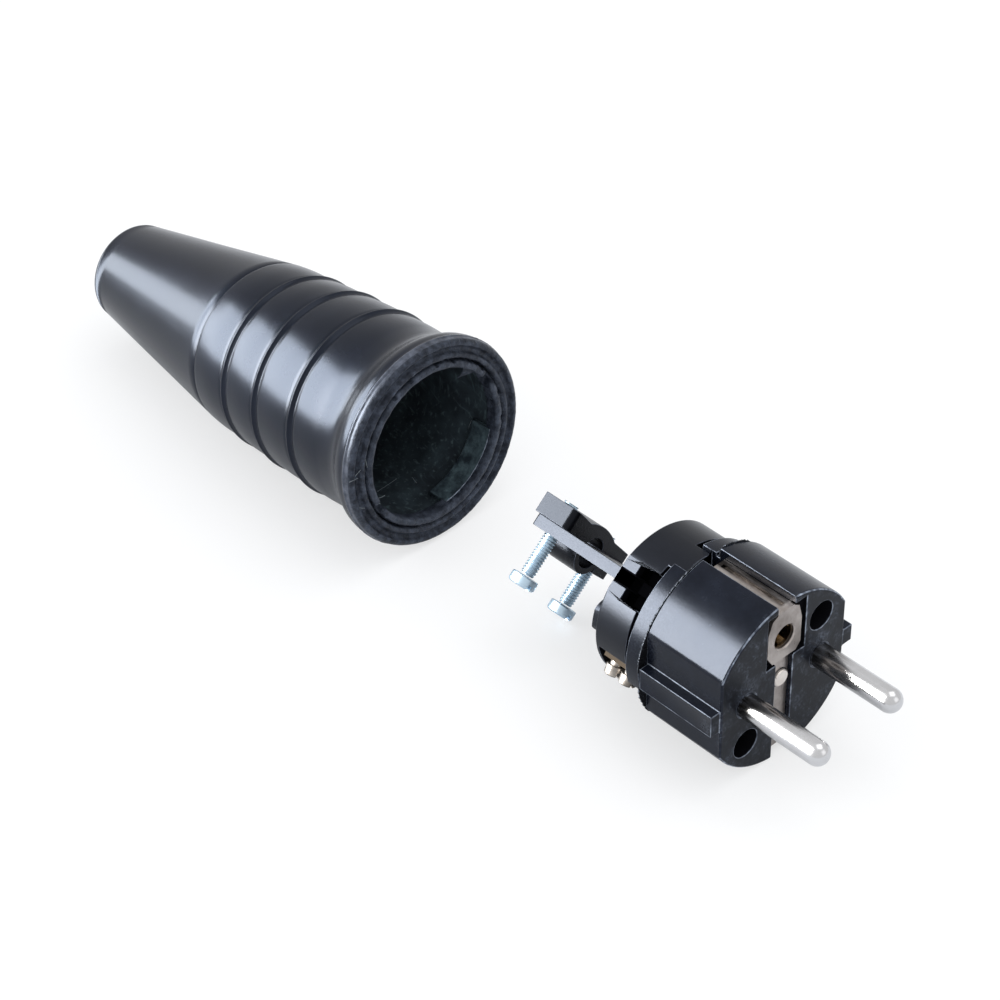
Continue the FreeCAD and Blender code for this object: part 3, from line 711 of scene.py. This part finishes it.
def rim_flash(name, x_low, x_high, root, radius, start, stop, height, seed):
    """A thin ragged fin of moulding flash round the insert, angles from -Y towards +Z."""
    verts = []
    rows = int(abs(stop - start) / 0.5) + 1
    for row in range(rows):
        part = row / (rows - 1)
        angle = math.radians(start + (stop - start) * part)
        fade = min(1.0, part * 8, (1 - part) * 8)
        ragged = 0.55 + 0.6 * uneven(row * 0.23, seed) + 0.45 * uneven(row * 0.9, seed, 4.0)
        reach = radius + fade * height * max(0.1, ragged)
        lean = 0.12 * uneven(row * 0.4, seed, 8.0)
        for x, r in ((x_low, root), (x_low + lean, reach), (x_high + lean, reach), (x_high, root)):
            verts.append((x, -r * math.cos(angle), r * math.sin(angle)))
    ends = [(0, 1, 2, 3), tuple(range(rows * 4 - 1, rows * 4 - 5, -1))]
    obj = new_piece(name, verts, skin(rows, 4) + ends, flash_and_shadow_rubber, smooth=False)
    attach(obj, BODY)


rim_flash("flash_far_lobe", -18.4, -18.15, 16.5, 18.2, 97, 124, 0.5, 3.0)
rim_flash("flash_near_side", -18.55, -18.32, 15.8, 18.1, -9, -36, 0.5, 11.0)
rim_flash("flash_near_lobe", -18.55, -18.32, 16.5, 18.24, 3, 82, 0.38, 21.0)


def slanted_shade_block(name, x, y, z):
    """A near-black block in the clamp's slanted frame: painted shade where the slot and window lie deep in
    shadow, which also closes a see-through gap round the arm.
    """
    verts = [SLANT @ corner for corner in box_corners(x, y, z)]
    obj = new_piece(name, verts, BOX_FACES, deep_shadow, smooth=False)
    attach(obj, BODY)


slanted_shade_block("slot_shade_block", (-31.6, -28.3), (-1.48, 1.48), (-11.4, 9.3))
slanted_shade_block("slot_shade_block_far", (-31.75, -28.3), (1.22, 1.49), (-11.0, 14.9))
slanted_shade_block("slot_shade_block_near", (-31.75, -28.3), (-1.49, -1.22), (-11.0, 14.9))
slanted_shade_block("window_shade_block", (-30.55, -24.0), (-4.6, 4.6), (7.3, 9.4))


def shadow_ring(name, x, inner, outer):
    """A flat near-black ring round the rivet's flat head: a painted shadow for the gap under it."""
    verts, faces, around = [], [], 64
    for turn in range(around):
        angle = 2 * math.pi * turn / around
        verts += [(x, r * math.cos(angle), r * math.sin(angle)) for r in (inner, outer)]
    for turn, then in in_ring(around):
        a, b = turn * 2, then * 2
        faces.append((a, a + 1, b + 1, b))
    obj = new_piece(name, verts, faces, flash_and_shadow_rubber, smooth=False)
    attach(obj, BODY)


shadow_ring("rivet_painted_shadow", -0.97, 1.6, 1.98)

EARTH_HOLE_HEIGHT = 10.0
LEAF_ANGLES = (35, 160, 280)
LEAF_HALF_WIDTH = 22
LEAF_THICKNESS = 0.14


def contact_springs():
    """Three bowed leaf springs inside the earth hole, which grip an outlet's earth pin."""
    verts, faces, rows = [], [], 13
    for middle in LEAF_ANGLES:
        base = len(verts)
        for row in range(rows):
            x = -1.4 - row * 0.6
            bow = 2.3 - 0.55 * math.sin(math.pi * row / (rows - 1))
            thin = bow - LEAF_THICKNESS
            for turn, r in ((-LEAF_HALF_WIDTH, bow), (LEAF_HALF_WIDTH, bow),
                            (LEAF_HALF_WIDTH, thin), (-LEAF_HALF_WIDTH, thin)):
                angle = math.radians(middle + turn)
                verts.append((x, r * math.cos(angle), EARTH_HOLE_HEIGHT + r * math.sin(angle)))
        faces += skin(rows, 4, first=base)
        faces += [tuple(range(base, base + 4)), tuple(range(base + 4 * rows - 1, base + 4 * rows - 5, -1))]
    obj = new_piece("contact_springs", verts, faces, spring_metal, smooth=False)
    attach(obj, BODY)


contact_springs()


# The clamp screws, with their threads

SHANK_RADIUS = 1.5
SHANK_LENGTH = 16.0
SHANK_TIP = 0.3
PITCH = 0.6
RINGS_PER_PITCH = 12
HEAD_RADIUS = 2.75
HEAD_HEIGHT = 2.1
HEAD_ROUND = 0.55
SLOT_WIDTH = 0.85
SLOT_DEPTH = 1.0
SCREW_MIDDLE = (-48.8 - 57.1) / 2

# Each screw's place across the clamp, its head's height there, and its slot's turn in degrees
CLAMP_SCREWS = (("clamp_screw_near", 8.15, -10.2, 18), ("clamp_screw_far", -8.15, -11.6, 10))


def threaded_shank(name):
    """The shank, along local -Z from under the head, where z = 0."""
    verts, around = [], 48
    rings = int((SHANK_LENGTH - SHANK_TIP) / PITCH * RINGS_PER_PITCH)
    for ring in range(rings + 1):
        down = SHANK_TIP + (SHANK_LENGTH - SHANK_TIP) * ring / rings
        fade = max(0.0, min(1.0, (down - SHANK_TIP) / 0.6, (SHANK_LENGTH - down) / 0.5))
        tapered = SHANK_RADIUS - 0.28 * max(0.0, 1 - (down - SHANK_TIP) / 0.7)
        for turn in range(around):
            phase = (down / PITCH - turn / around) % 1.0
            r = tapered - (0.13 - 0.13 * math.cos(2 * math.pi * phase)) * fade
            angle = 2 * math.pi * turn / around
            verts.append((r * math.cos(angle), r * math.sin(angle), -down))
    faces = skin(rings + 1, around) + [tuple(range(around))]
    return new_piece(name + "_shank", verts, [face[::-1] for face in faces], zinc)


def screw_head(name, slot_turn):
    """Round slotted head above z = 0 with a rounded rim, its slot cut by a boolean."""
    around, rim_height = 64, HEAD_HEIGHT - HEAD_ROUND
    line = [(HEAD_RADIUS - 0.15, 0.0), (HEAD_RADIUS, 0.15), (HEAD_RADIUS, rim_height)]
    for step in range(1, 7):
        turn = math.radians(15 * step)
        line.append((HEAD_RADIUS - HEAD_ROUND + HEAD_ROUND * math.cos(turn),
                     rim_height + HEAD_ROUND * math.sin(turn)))
    verts, faces = [(0, 0, 0)], []
    for r, z in line:
        for turn in range(around):
            angle = 2 * math.pi * turn / around
            verts.append((r * math.cos(angle), r * math.sin(angle), z))
    verts.append((0, 0, HEAD_HEIGHT))
    top = 1 + (len(line) - 1) * around
    for turn, then in in_ring(around):
        faces.append((0, 1 + then, 1 + turn))
        faces.append((len(verts) - 1, top + turn, top + then))
        for row in range(len(line) - 1):
            a, b = 1 + row * around, 1 + (row + 1) * around
            faces.append((a + turn, a + then, b + then, b + turn))
    obj = new_piece(name + "_head", verts, faces, zinc)
    cut_slot(obj, slot_turn)
    obj.data.polygons.foreach_set("use_smooth", [True] * len(obj.data.polygons))
    obj.data.set_sharp_from_angle(angle=math.radians(35))
    give(obj, zinc)
    return obj


def cut_slot(head, slot_turn):
    turned = Matrix.Rotation(math.radians(slot_turn), 3, "Z")
    corners = box_corners((-1.5 * HEAD_RADIUS, 1.5 * HEAD_RADIUS), (-SLOT_WIDTH / 2, SLOT_WIDTH / 2),
                          (HEAD_HEIGHT - SLOT_DEPTH, HEAD_HEIGHT + 1))
    cutter = new_piece("cut", [turned @ corner for corner in corners], BOX_FACES, zinc)
    boolean = head.modifiers.new("slot", "BOOLEAN")
    boolean.operation = "DIFFERENCE"
    boolean.solver = "EXACT"
    boolean.object = cutter
    baked(head)
    bpy.data.objects.remove(cutter)


def scaled(matrix):
    """The same placing for a mesh in metres."""
    result = matrix.copy()
    result.translation = matrix.translation * MM
    return result


def join(name, objects):
    work = bmesh.new()
    for obj in objects:
        work.from_mesh(obj.data)
    mesh = bpy.data.meshes.new(name)
    work.to_mesh(mesh)
    work.free()
    joined = bpy.data.objects.new(name, mesh)
    bpy.context.scene.collection.objects.link(joined)
    give(joined, objects[0].data.materials[0])
    for obj in objects:
        bpy.data.objects.remove(obj)
    return joined


def clamp_screw(name, across, head_drop, slot_turn):
    """One threaded screw, its shank and head turned over and hung from the clamp."""
    parts = [threaded_shank(name), screw_head(name, slot_turn)]
    place = SLANT @ Matrix.Translation((SCREW_MIDDLE, head_drop, across))
    place = place @ Matrix.Rotation(math.radians(-90), 4, "X") @ Matrix.Rotation(math.radians(180), 4, "X")
    for obj in parts:
        obj.data.transform(scaled(place))
    return join(name, parts)


for screw_name, across, head_drop, slot_turn in CLAMP_SCREWS:
    screw = clamp_screw(screw_name + "_threaded", across, head_drop, slot_turn)
    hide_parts(screw_name)
    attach(screw, BODY)


# Floor, backdrop and lights

# How much of the floor is plain white to the camera, which leaves a faint shadow
FLOOR_GLOW = 0.62
FLOOR_REACH = 4


def sheet_floor():
    mesh = bpy.data.meshes.new("floor")
    corners = [(x * FLOOR_REACH, y * FLOOR_REACH, FLOOR * MM)
               for x, y in ((-1, -1), (1, -1), (1, 1), (-1, 1))]
    mesh.from_pydata(corners, [], [(0, 1, 2, 3)])
    floor = bpy.data.objects.new("floor", mesh)
    bpy.context.scene.collection.objects.link(floor)
    material = bpy.data.materials.new("pale floor")
    material.use_nodes = True
    nodes, links = material.node_tree.nodes, material.node_tree.links
    shader = nodes["Principled BSDF"]
    shader.inputs["Base Color"].default_value = (0.95, 0.955, 0.96, 1)
    shader.inputs["Roughness"].default_value = 0.9
    shader.inputs["Specular IOR Level"].default_value = 0.0
    glow = nodes.new("ShaderNodeEmission")
    mix = nodes.new("ShaderNodeMixShader")
    seen = nodes.new("ShaderNodeLightPath")
    share = nodes.new("ShaderNodeMath")
    share.operation = "MULTIPLY"
    share.inputs[1].default_value = FLOOR_GLOW
    links.new(seen.outputs["Is Camera Ray"], share.inputs[0])
    links.new(share.outputs[0], mix.inputs[0])
    links.new(shader.outputs[0], mix.inputs[1])
    links.new(glow.outputs[0], mix.inputs[2])
    links.new(mix.outputs[0], nodes["Material Output"].inputs["Surface"])
    give(floor, material)


# The middle of the object, which the lights point at
MIDDLE = Vector((-0.07, 0.0, 0.0))


def area_light(name, place, width, height, power, tint=(1, 1, 1)):
    data = bpy.data.lights.new(name, "AREA")
    data.shape = "RECTANGLE"
    data.size = width
    data.size_y = height
    data.energy = power
    data.color = tint
    light = bpy.data.objects.new(name, data)
    light.location = place
    light.rotation_euler = (Vector(place) - MIDDLE).to_track_quat("Z", "Y").to_euler()
    bpy.context.scene.collection.objects.link(light)
    return light


sheet_floor()
area_light("window", (-0.57, -0.63, 0.5), 0.55, 0.5, 1.2, (0.95, 0.98, 1.0)).visible_glossy = False
area_light("top", (0.1, 0.3, 1.1), 0.9, 0.9, 3.0)
area_light("right", (0.9, 0.25, 0.5), 0.6, 0.6, 0.8)

# The big softbox whose mirror image is the long bright band on the rubber, in three panels
PANEL_SIDE = Vector((0.598, -0.636, 0.485))
PANEL_TOP = Vector((0.047, 0.632, 0.771))
PANEL_OUT = Vector((-0.80, -0.44, 0.41))
PANEL_DISTANCE = 0.8
PANEL_DROP = 0.06


def light_panel(name, left, right, low, high, brightness, tint):
    width, height = right - left, high - low
    across, up = (left + right) / 2, (low + high) / 2 - PANEL_DROP
    place = MIDDLE + PANEL_OUT * PANEL_DISTANCE + PANEL_SIDE * across + PANEL_TOP * up
    light = area_light(name, place, width, height, brightness * math.pi * width * height, tint)
    light.rotation_euler = Matrix((PANEL_SIDE, PANEL_TOP, PANEL_OUT)).transposed().to_euler()
    light.visible_diffuse = False


light_panel("softbox_cone", -0.42, -0.17, -0.17, 0.10, 12.0, (0.88, 0.94, 1.0))
light_panel("softbox_bands", -0.17, 0.20, -0.43, 0.28, 23.0, (0.88, 0.94, 1.0))
light_panel("softbox_insert", 0.20, 0.62, -0.52, 0.27, 48.0, (0.98, 0.98, 0.95))

world = bpy.data.worlds.new("studio")
bpy.context.scene.world = world
world.use_nodes = True
tree = world.node_tree
rays = tree.nodes.new("ShaderNodeLightPath")
WHITE = (1, 1, 1, 1)
SKYLIGHT = (0.95, 0.97, 1, 1)


def ray_mix(kind, otherwise, value):
    """The colour a kind of ray sees, and what the other rays see."""
    mix = tree.nodes.new("ShaderNodeMix")
    mix.data_type = "RGBA"
    tree.links.new(rays.outputs[kind], mix.inputs["Factor"])
    if isinstance(otherwise, tuple):
        mix.inputs[6].default_value = otherwise
    else:
        tree.links.new(otherwise, mix.inputs[6])
    mix.inputs[7].default_value = value
    return mix.outputs[2]


# White to the camera and in every mirror image, faintly blue where it lights the pieces
soft = ray_mix("Is Diffuse Ray", WHITE, SKYLIGHT)
tree.links.new(ray_mix("Is Camera Ray", soft, WHITE), tree.nodes["Background"].inputs["Color"])

# The camera, fitted to the photo
SENSOR_WIDTH = 36.0
FOCAL_PIXELS = 2681.8
PICTURE_WIDTH = 1000
CAMERA_PLACE = (0.22778, -0.26948, 0.32602)
CAMERA_BACK = Vector((0.5797, -0.5172, 0.6296))
CAMERA_RIGHT = Vector((0.6788, 0.7340, -0.0222))

camera_data = bpy.data.cameras.new("camera")
camera_data.sensor_width = SENSOR_WIDTH
camera_data.lens = SENSOR_WIDTH * FOCAL_PIXELS / PICTURE_WIDTH
camera_data.clip_start = 0.01
camera_data.clip_end = 20.0
camera = bpy.data.objects.new("camera", camera_data)
bpy.context.scene.collection.objects.link(camera)
back = CAMERA_BACK.normalized()
right = (CAMERA_RIGHT - back * CAMERA_RIGHT.dot(back)).normalized()
up = back.cross(right)
camera.matrix_world = Matrix.Translation(CAMERA_PLACE) @ Matrix((right, up, back)).transposed().to_4x4()
scene = bpy.context.scene
scene.camera = camera
scene.view_settings.view_transform = "Standard"
